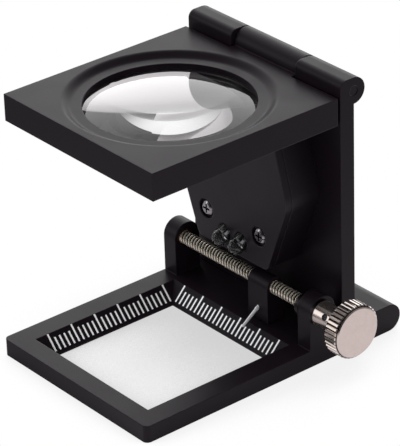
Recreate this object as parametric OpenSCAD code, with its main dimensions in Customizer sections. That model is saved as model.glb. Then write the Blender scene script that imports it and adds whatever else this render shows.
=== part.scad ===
// Folding desk magnifier with a lit, graduated window and a screw-driven pointer.
// Origin: centre of the window on the underside. X towards the knob, Y to the back, Z up. Millimetres.

/* [Plates] */
// Width of the base, the column and the lens plate
plate_w = 38.4; // [37:0.1:44]
// Thickness of the base
base_t = 3.1; // [2.7:0.1:3.6]
// Width of the base's rim in front of the window
front_rim = 3.65; // [2:0.05:6]
// Radius of the base's front corners
corner_r = 1; // [0.4:0.1:2]
// Clearance between the base's back edge and the column
base_gap = 0.3; // [0.2:0.05:0.6]

/* [Window] */
// Side of the square window at the underside, one millimetre a division
window_w = 25; // [20:0.1:26]
// Distance that each window wall leans back
window_slope = 2.65; // [1.5:0.1:3]
// Height of the upright lip below the leaning walls
window_lip = 0.3; // [0.2:0.05:0.6]

/* [Pointer screw] */
// Height of the screw's axis over the underside
screw_z = 9.9; // [9:0.1:10.6]
// Distance from the window's upper back edge to the screw's axis
screw_back = 3.45; // [3.2:0.05:4.6]
// Diameter of the screw over its thread
screw_d = 2.4; // [2.2:0.1:2.5]
// Diameter of the screw's plain end in the knob
journal_d = 1.8; // [1.4:0.1:1.9]
// Thickness of each ear along the screw
ear_t = 3.1; // [2.6:0.1:3.2]
// Width of each ear, and of its round top
ear_w = 5.4; // [5:0.1:5.8]
// Distance of the ears' middle behind the screw's axis
ear_set = 0.5; // [0:0.1:0.7]
// Outside diameter of the bush in each ear
bush_d = 3.2; // [3:0.1:3.4]
// Radial clearance of the screw in its bushes and carriage
screw_fit = 0.05; // [0.02:0.01:0.08]
// Thickness of the washers on both sides of the knob's ear
washer_t = 0.6; // [0.4:0.1:0.6]
// Diameter of the washers
washer_d = 4.6; // [4:0.1:4.8]
// Thickness of the retaining clip
clip_t = 0.4; // [0.3:0.05:0.4]
// Diameter of the retaining clip
clip_d = 4.2; // [4:0.1:4.6]

/* [Knob] */
// Diameter over the knurl
knob_d = 9.6; // [8:0.1:11]
// Length of the knurled head
knob_t = 3.3; // [2.5:0.1:5]
// Number of knurl teeth
knurl_count = 38; // [30:1:60]
// Depth of the knurl
knurl_depth = 0.3; // [0.1:0.05:0.5]
// Width of the bevel round the knob's face
knob_bevel = 0.5; // [0.2:0.05:0.8]
// Diameter of the hub behind the head
hub_d = 4.5; // [3.6:0.1:5]
// Length of the hub
hub_l = 5.4; // [3.5:0.1:6]
// Diameter of the grub screw in the hub
grub_d = 1.2; // [1:0.1:1.4]

/* [Carriage] */
// Width of the carriage along the screw
carriage_w = 5; // [4:0.1:7]
// Width of the carriage across the screw, and of its round top
carriage_d = 3.5; // [3.2:0.1:3.9]
// Where the carriage rests, from the middle of the window
carriage_x = 5.3; // [-8:0.1:8]
// Clearance between the carriage and the base
carriage_gap = 0.25; // [0.2:0.05:0.4]
// Diameter of the pointer needle
needle_d = 0.76; // [0.6:0.02:1]
// Length of the needle in front of the carriage
needle_l = 4.4; // [3.6:0.1:4.8]
// Angle at which the needle points down
needle_tilt = 35; // [30:1:40]
// Height at which the needle leaves the carriage
needle_z = 5.6; // [5.2:0.1:6.4]

/* [Column and hinges] */
// Thickness of the column
column_t = 2.9; // [2.5:0.1:3.4]
// Clearance between the ears and the column
ear_gap = 1.7; // [1:0.1:3]
// Height of the upper hinge's axis
hinge_z = 48.1; // [47.6:0.1:52]
// Diameter of the upper hinge's barrel
barrel_d = 4.7; // [4.4:0.1:5.2]
// Radius of the round at the top of the column's front
shoulder_r = 1.3; // [1.1:0.1:1.8]
// Width of the lens plate's knuckle
knuckle_w = 15.6; // [10:0.1:20]
// Width of the base's tongue in the lower hinge
tongue_w = 15.6; // [10:0.1:20]
// Side clearance between knuckles
knuckle_gap = 0.3; // [0.2:0.05:0.5]
// Thickness of the column's feet, and the lower barrel's diameter
foot_t = 5; // [4.4:0.1:5.4]
// Radius in the corner between the column and its feet
foot_fillet = 0.6; // [0.2:0.1:0.7]
// Diameter of both hinge pins
pin_d = 1.8; // [1.4:0.1:2]
// Radial clearance of a hinge pin in the knuckle that turns on it
pin_fit = 0.05; // [0.02:0.01:0.08]
// Clearance between the folded plates
fold_gap = 0.4; // [0.3:0.05:0.6]

/* [Lens plate] */
// Thickness of the lens plate
lens_plate_t = 4.85; // [4.65:0.05:5.6]
// Length of the lens plate without its hinge
lens_plate_l = 38.4; // [37.2:0.1:39]
// Distance from the hinge's axis down to the lens plate's top
lens_plate_drop = 0.3; // [0.25:0.05:0.6]
// Gap between the lens plate's back edge and the column
plate_gap = 0.6; // [0.5:0.05:0.8]
// Diameter of the view through the lens plate
view_d = 28.6; // [24:0.1:29]
// Outside diameter of the hollow round the lens
cove_d = 35.6; // [31:0.1:36]
// Depth of the hollow round the lens
cove_depth = 0.9; // [0.5:0.05:1]
// Width of the flat ring inside the hollow
cove_flat = 1.6; // [0.5:0.05:1.9]
// Diameter of the lens
lens_d = 29.8; // [29.2:0.1:30.6]
// Radius of both lens faces
lens_r = 56; // [56:1:70]
// Thickness of the lens at its edge
lens_edge = 0.6; // [0.5:0.05:0.7]
// Wall of the ring that holds the lens
ring_wall = 0.7; // [0.5:0.05:0.9]
// Distance of the ring inside the plate's underside
ring_inset = 0.3; // [0.1:0.05:0.6]
// Radial clearance round the lens and its ring
lens_fit = 0.1; // [0.05:0.05:0.2]

/* [Lamp] */
// Depth of the whole lamp housing in front of the column
lamp_depth = 7.45; // [7.35:0.05:9]
// Thickness of the lamp's cover
cover_t = 1.5; // [1.2:0.1:1.6]
// Height of the housing's lower end
lamp_z0 = 14.4; // [13.5:0.1:16]
// Height at which the housing is widest
lamp_z1 = 28.3; // [27:0.1:30]
// Height of the housing's upper end
lamp_z2 = 41.5; // [41:0.1:41.7]
// Width of the housing's lower end
lamp_w0 = 17.8; // [16.6:0.1:19]
// Greatest width of the housing
lamp_w1 = 28.3; // [26:0.1:31]
// Width of the housing's upper end
lamp_w2 = 20.8; // [18:0.1:23]
// Radius of the housing's corners
lamp_r = 1.4; // [0.8:0.1:2]
// Radius of the housing's widest corners
lamp_side_r = 5; // [3:0.5:8]
// Thickness of the housing's side walls
lamp_wall = 1.3; // [1:0.1:1.5]
// Thickness of the housing's back wall
lamp_back = 1.2; // [0.9:0.1:1.3]
// Diameter of the two lamps
led_d = 3; // [2.6:0.1:3.2]
// Distance between the two lamps
led_pitch = 4.2; // [4:0.1:5]
// Height of the lamps on the cover
led_z = 17.2; // [16.8:0.1:18]
// Angle at which the lamps point down
led_tilt = 25; // [15:1:30]
// Length of a lamp in front of the cover
led_out = 2.55; // [1.8:0.05:2.8]
// Distance between the cover screws
cover_screw_pitch = 13.6; // [12.8:0.1:14.2]
// Height of the cover screws
cover_screw_z = 20.1; // [19.8:0.1:20.8]
// Diameter of the button cells
cell_d = 16; // [14:0.5:16]
// Thickness of one button cell
cell_t = 1.6; // [1.2:0.1:1.6]
// Height of the button cells' centre
cell_z = 30; // [30:0.1:31]
// Gap between the two button cells
cell_gap = 0.05; // [0.02:0.01:0.1]

/* [Switch] */
// Travel of the slide switch
switch_travel = 1.8; // [1:0.1:2]
// Distance of the switch from the housing's widest point, along its wall
switch_up = 7.2; // [6:0.1:8]
// Size of the switch's thumb piece along its travel
thumb_l = 1.6; // [1:0.1:1.8]
// Size of the thumb piece across its travel
thumb_w = 1.6; // [1.2:0.1:2]
// Height of the thumb piece over the wall
thumb_h = 0.9; // [0.6:0.1:1.4]

/* [Hidden] */
$fn = 48;
// A cut that leaves a face runs this far past it
over = 1;
// A piece fixed in its hole clears the wall by this much
fixed_fit = 0.01;
// Distance of a hinge pin's ends inside the column's sides, or inside its blind holes
pin_sunk = 0.1;
// Wall of the column at the ends of the lower hinge pin
pin_wall = 1;

half_w = plate_w / 2;
window_top = window_w / 2 + window_slope;
base_y0 = -window_top - front_rim;
screw_y = window_top + screw_back;
ear_y = screw_y + ear_set;
column_y0 = ear_y + ear_w / 2 + ear_gap;
column_y1 = column_y0 + column_t;
base_y1 = column_y0 - base_gap;
ear_x = half_w - ear_t;

barrel_r = barrel_d / 2;
hinge_y = column_y1;
plate_z1 = hinge_z - lens_plate_drop;
plate_z0 = plate_z1 - lens_plate_t;
plate_y1 = column_y0 - plate_gap;
plate_y0 = plate_y1 - lens_plate_l;
foot_r = foot_t / 2;
foot_y = hinge_y + lens_plate_drop + lens_plate_t + fold_gap / 2 + foot_r;
foot_nose_r = foot_y - column_y0;
knuckle_opening = knuckle_w + 2 * knuckle_gap;
tongue_opening = tongue_w + 2 * knuckle_gap;

lens_y = (plate_y0 + plate_y1) / 2;
lens_z = (plate_z0 + plate_z1) / 2;
lens_seat_d = lens_d + 2 * lens_fit;
lens_seat_z = lens_z + lens_edge / 2 + lens_bulge(view_d / 2) + fixed_fit;
ring_z0 = plate_z0 + ring_inset;
ring_z1 = lens_z - lens_edge / 2 - lens_bulge(lens_d / 2 - ring_wall) - fixed_fit;
ring_slot_w = 1.2;
ring_slot_depth = 0.6;

cover_y0 = column_y0 - lamp_depth;
cover_y1 = cover_y0 + cover_t;
cavity_y1 = column_y0 - lamp_back;
board_t = 0.8;
board_y0 = cavity_y1 - board_t;
board_gap = 0.2;
contact_t = 0.3;
cells_y1 = board_y0 - contact_t;
cells_y0 = cells_y1 - 2 * cell_t - cell_gap;
boss_d = 3.2;
cover_screw_x = cover_screw_pitch / 2;
cover_screw_d = 1.6;
cover_head_d = 2.8;
cover_head_t = 0.7;
cover_head_bore_d = 3.6;
cover_screw_l = 4.6;
body_screw_inset = 2.3;
body_screw_x = lamp_w1 / 2 - lamp_wall - body_screw_inset;
body_screw_d = 1.6;
body_head_d = 3;
body_screw_l = 5.4;
body_boss_d = 2.8;
body_boss_l = 2.2;
led_rim_w = 0.35;
led_rim_d = led_d + 2 * led_rim_w;
led_rim_t = 0.7;
led_fit = 0.1;
lead_d = 0.45;
lead_pitch = 1.27;

switch_angle = atan((lamp_w1 - lamp_w2) / 2 / (lamp_z2 - lamp_z1));
switch_w = 3;
switch_l = 5.4;
switch_depth = 2.2;
switch_fit = 0.15;
stem_l = 1.2;
stem_w = 1;
stem_depth = 1.2;

clip_groove_depth = 0.35;
clip_groove_d = screw_d - 2 * clip_groove_depth;
screw_inset = 0.3;
screw_x0 = -half_w + screw_inset;
clip_x = ear_x - washer_t;
knob_x0 = half_w + washer_t;
head_x0 = knob_x0 + hub_l;
screw_x1 = head_x0 + knob_t / 2;
grub_x = knob_x0 + hub_l / 2;
grub_tilt = 30;

carriage_r = carriage_d / 2;
carriage_y0 = screw_y - carriage_r;
needle_seat = 1.4;

// Extrudes an outline drawn in Y and Z from x0 to x1
module along_x(x0, x1) {
    translate([x0, 0, 0]) rotate([90, 0, 90]) linear_extrude(x1 - x0) children();
}

// Extrudes an outline drawn in X and Z from y0 to y1
module along_y(y0, y1) {
    translate([0, y1, 0]) rotate([90, 0, 0]) linear_extrude(y1 - y0) children();
}

// A round bar along X
module bar_x(x0, x1, y, z, d) {
    translate([x0, y, z]) rotate([0, 90, 0]) cylinder(d = d, h = x1 - x0);
}

// A round bar along Y
module bar_y(y0, y1, x, z, d) {
    translate([x, y0, z]) rotate([-90, 0, 0]) cylinder(d = d, h = y1 - y0);
}

module both_sides() {
    children();
    mirror([1, 0, 0]) children();
}

// Unit normal that points into an outline drawn anticlockwise
function inward(a, b) = [a[1] - b[1], b[0] - a[0]] / norm(b - a);

// Corner i of an outline, moved in by d from both of its sides
function corner_in(p, i, d) = let (
    n = len(p),
    before = inward(p[(i + n - 1) % n], p[i]),
    after = inward(p[i], p[(i + 1) % n])
) p[i] + d * (before + after) / (1 + before * after);

// An outline with all its sides moved in by d
function shrunk(p, d) = [for (i = [0 : len(p) - 1]) corner_in(p, i, d)];

// An outline with corner i rounded to radius r[i]
function rounded(p, r, steps = 6) = [
    for (i = [0 : len(p) - 1])
        let (
            n = len(p),
            before = inward(p[(i + n - 1) % n], p[i]),
            after = inward(p[i], p[(i + 1) % n]),
            start = atan2(-before[1], -before[0]),
            turn = acos(before * after)
        )
        for (k = [0 : steps])
            corner_in(p, i, r[i]) + r[i] * [cos(start + turn * k / steps), sin(start + turn * k / steps)]
];

// The window as it is seen along one axis: an upright lip, then walls that lean back
module window_profile() {
    lean = window_slope / (base_t - window_lip);
    top = window_top + lean * over;
    polygon([
        [-window_w / 2, -over], [window_w / 2, -over], [window_w / 2, window_lip],
        [top, base_t + over], [-top, base_t + over], [-window_w / 2, window_lip]
    ]);
}

module window_cut() {
    intersection() {
        along_x(-half_w, half_w) window_profile();
        along_y(-half_w, half_w) window_profile();
    }
}

module base_slab() {
    translate([-half_w, base_y0 + corner_r, 0]) cube([plate_w, base_y1 - base_y0 - corner_r, base_t]);
    translate([-half_w + corner_r, base_y0, 0]) cube([plate_w - 2 * corner_r, 2 * corner_r, base_t]);
    both_sides() translate([half_w - corner_r, base_y0 + corner_r, 0]) cylinder(r = corner_r, h = base_t);
}

// One of the two ears that carry the screw, on the side of the knob
module ear() {
    along_x(ear_x, half_w) {
        translate([ear_y - ear_w / 2, base_t / 2]) square([ear_w, screw_z - base_t / 2]);
        translate([ear_y, screw_z]) circle(d = ear_w);
    }
}

// The tongue that reaches back to the lower hinge
module base_tongue() {
    along_x(-tongue_w / 2, tongue_w / 2) {
        translate([base_y1 - over, 0]) square([foot_y - base_y1 + over, base_t]);
        translate([foot_y, foot_r]) circle(d = foot_t);
    }
}

module base_plate() {
    color("#232122") difference() {
        union() {
            base_slab();
            both_sides() ear();
            base_tongue();
        }
        window_cut();
        bar_x(-half_w - over, half_w + over, screw_y, screw_z, bush_d + 2 * fixed_fit);
        bar_x(-tongue_w, tongue_w, foot_y, foot_r, pin_d + 2 * pin_fit);
    }
}

module screw_bushes() {
    color("#b5934c") both_sides() difference() {
        bar_x(ear_x, half_w, screw_y, screw_z, bush_d);
        bar_x(ear_x - over, half_w + over, screw_y, screw_z, screw_d + 2 * screw_fit);
    }
}

// The column, its feet and its upper knuckles, as seen from the side
module column_profile() {
    nose = foot_nose_r;
    intersection() {
        union() {
            translate([column_y0, 0]) square([column_t, hinge_z + barrel_r - shoulder_r]);
            translate([column_y0, 0]) square([foot_y - column_y0, foot_t]);
        }
        union() {
            translate([foot_y, foot_r]) circle(r = nose, $fn = 120);
            translate([column_y0, foot_r]) square([nose, hinge_z + barrel_r]);
        }
    }
    translate([foot_y, foot_r]) circle(d = foot_t);
    translate([hinge_y, hinge_z]) circle(d = barrel_d);
    translate([column_y0 + shoulder_r, hinge_z]) square([column_t - shoulder_r, barrel_r]);
    translate([column_y0 + shoulder_r, hinge_z + barrel_r - shoulder_r]) circle(r = shoulder_r);
    difference() {
        translate([column_y1 - over, foot_t - over]) square(over + foot_fillet);
        translate([column_y1 + foot_fillet, foot_t + foot_fillet]) circle(r = foot_fillet);
    }
}

// Countersunk hole for a screw that holds the lamp from behind
module body_screw_hole(x) {
    sink = (body_head_d - body_screw_d) / 2;
    bar_y(column_y0 - over, column_y1 + over, x, lamp_z1, body_screw_d + 2 * fixed_fit);
    translate([x, column_y1 - sink, lamp_z1]) rotate([-90, 0, 0])
        cylinder(d1 = body_screw_d + 2 * fixed_fit, d2 = body_head_d + 2 * fixed_fit, h = sink);
    bar_y(column_y1, column_y1 + over, x, lamp_z1, body_head_d + 2 * fixed_fit);
}

module column() {
    upper_z = hinge_z - barrel_r - knuckle_gap;
    color("#1f1d1f") difference() {
        along_x(-half_w, half_w) column_profile();
        translate([-tongue_opening / 2, column_y0 - over, -over])
            cube([tongue_opening, column_t + over, base_t + knuckle_gap + over]);
        translate([-tongue_opening / 2, column_y1, -over])
            cube([tongue_opening, foot_y + foot_t - column_y1, foot_t + foot_fillet + 2 * over]);
        translate([-knuckle_opening / 2, column_y0 - over, upper_z])
            cube([knuckle_opening, column_t + barrel_d + over, barrel_d + over]);
        bar_x(-half_w - over, half_w + over, hinge_y, hinge_z, pin_d + 2 * fixed_fit);
        bar_x(-half_w + pin_wall, half_w - pin_wall, foot_y, foot_r, pin_d + 2 * fixed_fit);
        for (side = [-1, 1]) body_screw_hole(side * body_screw_x);
    }
}

module upper_hinge_pin() {
    end_x = half_w - pin_sunk;
    color("#8d8a88") bar_x(-end_x, end_x, hinge_y, hinge_z, pin_d);
}

module lower_hinge_pin() {
    end_x = half_w - pin_wall - pin_sunk;
    color("#8d8a88") bar_x(-end_x, end_x, foot_y, foot_r, pin_d);
}

// The hollow round the lens: a soft step down to a flat ring, then the view
module cove() {
    flat_r = view_d / 2 + cove_flat;
    width = cove_d / 2 - flat_r;
    steps = 10;
    rotate_extrude($fn = 120) polygon(concat(
        [[0, cove_depth + over], [0, 0], [flat_r, 0]],
        [for (k = [1 : steps]) [
            flat_r + width * k / steps,
            cove_depth * (1 - cos(180 * k / steps)) / 2
        ]],
        [[cove_d / 2, cove_depth + over]]
    ));
}

module lens_frame() {
    color("#2b2a2b") difference() {
        union() {
            translate([-half_w, plate_y0, plate_z0]) cube([plate_w, lens_plate_l, lens_plate_t]);
            along_x(-knuckle_w / 2, knuckle_w / 2) {
                translate([hinge_y, hinge_z]) circle(d = barrel_d);
                translate([plate_y1 - over, hinge_z - barrel_r])
                    square([hinge_y - plate_y1 + over, barrel_r - lens_plate_drop]);
            }
        }
        translate([0, lens_y, plate_z1 - cove_depth]) cove();
        translate([0, lens_y, plate_z0]) cylinder(d = view_d, h = lens_plate_t, $fn = 96);
        translate([0, lens_y, plate_z0 - over])
            cylinder(d = lens_seat_d, h = lens_seat_z - plate_z0 + over, $fn = 96);
        bar_x(-knuckle_w, knuckle_w, hinge_y, hinge_z, pin_d + 2 * pin_fit);
    }
}

// Height of a lens face over its own edge, at radius r
function lens_bulge(r) = sqrt(lens_r * lens_r - r * r) - sqrt(lens_r * lens_r - lens_d * lens_d / 4);

// Two equal spherical faces meet a round edge
module lens() {
    offset_z = lens_r - lens_bulge(0) - lens_edge / 2;
    color("#dfe8ea", 0.35) translate([0, lens_y, lens_z]) intersection() {
        translate([0, 0, -offset_z]) sphere(r = lens_r, $fn = 200);
        translate([0, 0, offset_z]) sphere(r = lens_r, $fn = 200);
        translate([0, 0, -lens_plate_t]) cylinder(d = lens_d, h = 2 * lens_plate_t, $fn = 96);
    }
}

// Threaded into the plate from below, with two slots for a key
module lens_retaining_ring() {
    color("#1c1b1c") translate([0, lens_y, ring_z0]) difference() {
        cylinder(d = lens_d, h = ring_z1 - ring_z0, $fn = 96);
        translate([0, 0, -over]) cylinder(d = lens_d - 2 * ring_wall, h = lens_plate_t, $fn = 96);
        translate([-lens_d, -ring_slot_w / 2, -over])
            cube([2 * lens_d, ring_slot_w, ring_slot_depth + over]);
    }
}

// Six corners of the lamp housing, in X and Z
lamp_outline = [
    [lamp_w0 / 2, lamp_z0], [lamp_w1 / 2, lamp_z1], [lamp_w2 / 2, lamp_z2],
    [-lamp_w2 / 2, lamp_z2], [-lamp_w1 / 2, lamp_z1], [-lamp_w0 / 2, lamp_z0]
];
lamp_corners = [lamp_r, lamp_side_r, lamp_r, lamp_r, lamp_side_r, lamp_r];

// The housing's outline moved in by d
module lamp_section(d = 0) {
    inside = [for (r = lamp_corners) max(lamp_r / 2, r - d)];
    polygon(rounded(shrunk(lamp_outline, d), inside));
}

// Places its children on the left wall: X points in through the wall, Z along the travel
module at_switch() {
    translate([-lamp_w1 / 2, board_y0 - switch_w / 2, lamp_z1])
        rotate([0, switch_angle, 0]) translate([0, 0, switch_up]) children();
}

module lamp_body() {
    slot_l = stem_l + switch_travel + 2 * switch_fit;
    slot_w = stem_w + 2 * switch_fit;
    color("#2a282a") difference() {
        union() {
            difference() {
                along_y(cover_y1, column_y0) lamp_section();
                along_y(cover_y1 - over, cavity_y1) lamp_section(lamp_wall);
            }
            for (side = [-1, 1]) {
                bar_y(cover_y1, column_y0, side * cover_screw_x, cover_screw_z, boss_d);
                bar_y(cavity_y1 - body_boss_l, column_y0, side * body_screw_x, lamp_z1, body_boss_d);
            }
        }
        for (side = [-1, 1]) {
            bar_y(cover_y1 - over, cover_y1 + cover_screw_l, side * cover_screw_x, cover_screw_z,
                cover_screw_d + 2 * fixed_fit);
            bar_y(cover_y1, column_y0 + over, side * body_screw_x, lamp_z1, body_screw_d + 2 * fixed_fit);
        }
        at_switch() translate([-over, -slot_w / 2, -slot_l / 2])
            cube([lamp_wall + 2 * over, slot_w, slot_l]);
    }
}

// Places its children on a lamp's axis where it leaves the cover, with Z along the light
module at_led(side) {
    translate([side * led_pitch / 2, cover_y0, led_z]) rotate([90 + led_tilt, 0, 0]) children();
}

module led_rim_place(side) {
    at_led(side) translate([0, 0, -(cover_t / cos(led_tilt) + led_rim_d / 2 * tan(led_tilt))]) children();
}

module lamp_cover() {
    color("#302e30") difference() {
        along_y(cover_y0, cover_y1) lamp_section();
        for (side = [-1, 1]) {
            bar_y(cover_y0 - over, cover_y1 + over, side * cover_screw_x, cover_screw_z,
                cover_screw_d + 2 * fixed_fit);
            bar_y(cover_y0 - over, cover_y0 + cover_head_t, side * cover_screw_x, cover_screw_z,
                cover_head_bore_d);
            at_led(side) translate([0, 0, -2 * cover_t - over])
                cylinder(d = led_d + 2 * led_fit, h = 2 * cover_t + 3 * over);
        }
    }
}

// Pan heads with a cross recess, one solid for each screw
module cover_screws() {
    rim_t = 0.42;
    crown_d = 1.96;
    cross_l = 1.7;
    cross_w = 0.4;
    cross_depth = 0.45;
    color("#6b6768") for (side = [-1, 1])
        translate([side * cover_screw_x, cover_y0 + cover_head_t, cover_screw_z])
            rotate([90, 0, 0]) difference() {
                union() {
                    cylinder(d = cover_head_d, h = rim_t);
                    translate([0, 0, rim_t])
                        cylinder(d1 = cover_head_d, d2 = crown_d, h = cover_head_t - rim_t);
                    translate([0, 0, -cover_screw_l]) cylinder(d = cover_screw_d, h = cover_screw_l);
                }
                for (turn = [0, 90]) rotate([0, 0, turn])
                    translate([-cross_l / 2, -cross_w / 2, cover_head_t - cross_depth])
                        cube([cross_l, cross_w, over]);
            }
}

// Countersunk screws from behind the column into the lamp body
module body_screws() {
    sink = (body_head_d - body_screw_d) / 2;
    cross_l = 1.8;
    cross_w = 0.4;
    color("#4a4849") for (side = [-1, 1]) translate([side * body_screw_x, column_y1, lamp_z1])
        rotate([90, 0, 0]) difference() {
            union() {
                cylinder(d1 = body_head_d, d2 = body_screw_d, h = sink);
                cylinder(d = body_screw_d, h = body_screw_l);
            }
            for (turn = [0, 90]) rotate([0, 0, turn])
                translate([-cross_l / 2, -cross_w / 2, -over]) cube([cross_l, cross_w, over + sink / 2]);
        }
}

// A lamp: domed body in the cover, rim and two leads behind it
module led(side) {
    body_l = led_out - led_d / 2;
    rim_back = cover_t / cos(led_tilt) + led_rim_d / 2 * tan(led_tilt);
    color("#e8eef0", 0.5) {
        at_led(side) {
            translate([0, 0, -rim_back]) cylinder(d = led_d, h = rim_back + body_l);
            translate([0, 0, body_l]) sphere(d = led_d);
        }
        led_rim_place(side) {
            translate([0, 0, -led_rim_t]) cylinder(d = led_rim_d, h = led_rim_t);
            for (lead = [-1, 1]) translate([lead * lead_pitch / 2, 0, -led_rim_t - led_lead_l()])
                cylinder(d = lead_d, h = led_lead_l() + led_rim_t / 2);
        }
    }
}

// Distance along a lamp's axis from its rim to the circuit board
function led_lead_l() = (board_y0 - cover_y0) / cos(led_tilt)
    - cover_t / cos(led_tilt) - led_rim_d / 2 * tan(led_tilt) - led_rim_t - lead_d;

module led_left() {
    led(-1);
}

module led_right() {
    led(1);
}

module circuit_board() {
    y0 = board_y0 - over;
    y1 = cavity_y1 + over;
    color("#1f5a3c") difference() {
        along_y(board_y0, cavity_y1) lamp_section(lamp_wall + board_gap);
        for (side = [-1, 1]) {
            bar_y(y0, y1, side * cover_screw_x, cover_screw_z, boss_d + 2 * board_gap);
            bar_y(y0, y1, side * body_screw_x, lamp_z1, body_boss_d + 2 * board_gap);
        }
    }
}

// Two cells stacked, each a cup with a slightly smaller cap
module battery_cells() {
    cap_t = 0.3;
    cap_step = 1;
    color("#a9a9a6") for (k = [0, 1]) {
        y = cells_y0 + k * (cell_t + cell_gap);
        bar_y(y, y + cap_t, 0, cell_z, cell_d - 2 * cap_step);
        bar_y(y + cap_t, y + cell_t, 0, cell_z, cell_d);
    }
}

module rear_contact() {
    strip_w = 9.6;
    strip_l = 5.6;
    color("#b9a27a") along_y(cells_y1, board_y0) translate([0, cell_z])
        square([strip_w, strip_l], center = true);
}

// Spring plate inside the cover, pressed against the cells, with a leg back to the board
module front_contact() {
    strip_w = 7;
    strip_l = 9.4;
    leg_w = 3.5;
    leg_gap = 0.1;
    leg_z = cell_z + cell_d / 2 + leg_gap + contact_t;
    pad_d = 5;
    color("#b9a27a") {
        translate([-strip_w / 2, cover_y1, leg_z - strip_l]) cube([strip_w, contact_t, strip_l]);
        bar_y(cover_y1, cells_y0, 0, cell_z, pad_d);
        translate([-leg_w / 2, cover_y1, leg_z - contact_t])
            cube([leg_w, board_y0 - cover_y1, contact_t]);
    }
}

module switch_body() {
    pocket_l = thumb_l + switch_travel + 2 * switch_fit;
    color("#3a3a3c") at_switch() difference() {
        translate([lamp_wall, -switch_w / 2, -switch_l / 2]) cube([switch_depth, switch_w, switch_l]);
        translate([lamp_wall - over, -thumb_w / 2 - switch_fit, -pocket_l / 2])
            cube([stem_depth + switch_fit + over, thumb_w + 2 * switch_fit, pocket_l]);
    }
}

// Stem in the wall's slot, with a ribbed thumb piece outside and a foot in the switch
module switch_slider() {
    rib_w = 0.25;
    rib_depth = 0.2;
    sole_t = 0.6;
    rest = -switch_travel / 2;
    color("#111111") at_switch() translate([0, 0, rest]) {
        difference() {
            translate([-switch_fit - thumb_h, -thumb_w / 2, -thumb_l / 2])
                cube([thumb_h, thumb_w, thumb_l]);
            for (k = [-1 : 1])
                translate([-switch_fit - thumb_h - over, -thumb_w, k * 2 * rib_w - rib_w / 2])
                    cube([over + rib_depth, 2 * thumb_w, rib_w]);
        }
        translate([-switch_fit - thumb_h / 2, -stem_w / 2, -stem_l / 2])
            cube([thumb_h / 2 + switch_fit + lamp_wall + stem_depth, stem_w, stem_l]);
        translate([lamp_wall + stem_depth - sole_t, -thumb_w / 2, -thumb_l / 2])
            cube([sole_t, thumb_w, thumb_l]);
    }
}

// Plain over its thread's outside, with a groove for the clip inside the knob's ear
module lead_screw() {
    bevel = 0.3;
    color("#c2a878") difference() {
        union() {
            bar_x(screw_x0 + bevel, knob_x0, screw_y, screw_z, screw_d);
            bar_x(screw_x0 + bevel, screw_x1, screw_y, screw_z, journal_d);
            translate([screw_x0, screw_y, screw_z]) rotate([0, 90, 0])
                cylinder(d1 = screw_d - 2 * bevel, d2 = screw_d, h = bevel);
        }
        difference() {
            bar_x(clip_x - clip_t, clip_x, screw_y, screw_z, screw_d + over);
            bar_x(clip_x - clip_t - over, clip_x + over, screw_y, screw_z, clip_groove_d);
        }
    }
}

module thrust_washers() {
    color("#4c4a4a") for (x = [clip_x, half_w]) difference() {
        bar_x(x, x + washer_t, screw_y, screw_z, washer_d);
        bar_x(x - over, x + washer_t + over, screw_y, screw_z, screw_d + 2 * screw_fit);
    }
}

// Open clip that snaps into the screw's groove from above, inside the knob's ear
module retaining_clip() {
    nip = 0.15;
    mouth = clip_groove_d - 2 * nip;
    eye_d = 0.7;
    color("#77736f") difference() {
        bar_x(clip_x - clip_t, clip_x, screw_y, screw_z, clip_d);
        bar_x(clip_x - clip_t - over, clip_x + over, screw_y, screw_z, clip_groove_d + 2 * fixed_fit);
        translate([clip_x - clip_t - over, screw_y - mouth / 2, screw_z])
            cube([clip_t + 2 * over, mouth, clip_d]);
        for (side = [-1, 1])
            bar_x(clip_x - clip_t - over, clip_x + over, screw_y + side * clip_d / 3, screw_z, eye_d);
    }
}

// Outline of the straight knurl: a flat tip and a pointed root for each tooth
module knurl_outline() {
    tooth = 360 / knurl_count;
    tip = knob_d / 2;
    root = tip - knurl_depth;
    polygon([for (k = [0 : knurl_count - 1], part = [[-0.2, 0], [0.2, 0], [0.5, 1]])
        (part[1] == 0 ? tip : root) * [cos(tooth * (k + part[0])), sin(tooth * (k + part[0]))]
    ]);
}

module knob_hub_place() {
    translate([knob_x0, screw_y, screw_z]) rotate([0, 90, 0]) children();
}

module knob() {
    color("#c9c3bf") difference() {
        union() {
            bar_x(knob_x0, head_x0 + over, screw_y, screw_z, hub_d);
            knob_hub_place() translate([0, 0, hub_l]) intersection() {
                linear_extrude(knob_t) knurl_outline();
                union() {
                    cylinder(d1 = knob_d - 2 * knob_bevel, d2 = knob_d, h = knob_bevel);
                    translate([0, 0, knob_bevel]) cylinder(d = knob_d, h = knob_t - 2 * knob_bevel);
                    translate([0, 0, knob_t - knob_bevel])
                        cylinder(d1 = knob_d, d2 = knob_d - 2 * knob_bevel, h = knob_bevel);
                }
            }
        }
        bar_x(knob_x0 - over, screw_x1, screw_y, screw_z, journal_d + 2 * fixed_fit);
        at_grub() cylinder(d = grub_d + 2 * fixed_fit, h = hub_d);
    }
}

// Places its children on the grub screw's axis, pointing out of the hub
module at_grub() {
    translate([grub_x, screw_y, screw_z]) rotate([90 - grub_tilt, 0, 0]) children();
}

module knob_grub_screw() {
    inner = journal_d / 2 + 2 * fixed_fit;
    sunk = 0.15;
    slot_w = 0.24;
    slot_depth = 0.25;
    length = sqrt(hub_d * hub_d - grub_d * grub_d) / 2 - sunk - inner;
    color("#2b2a2a") at_grub() difference() {
        translate([0, 0, inner]) cylinder(d = grub_d, h = length);
        translate([-grub_d, -slot_w / 2, inner + length - slot_depth]) cube([2 * grub_d, slot_w, over]);
    }
}

// Places its children where the needle leaves the carriage, with Z along the needle
module at_needle() {
    translate([carriage_x, carriage_y0, needle_z]) rotate([90 + needle_tilt, 0, 0]) children();
}

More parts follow.
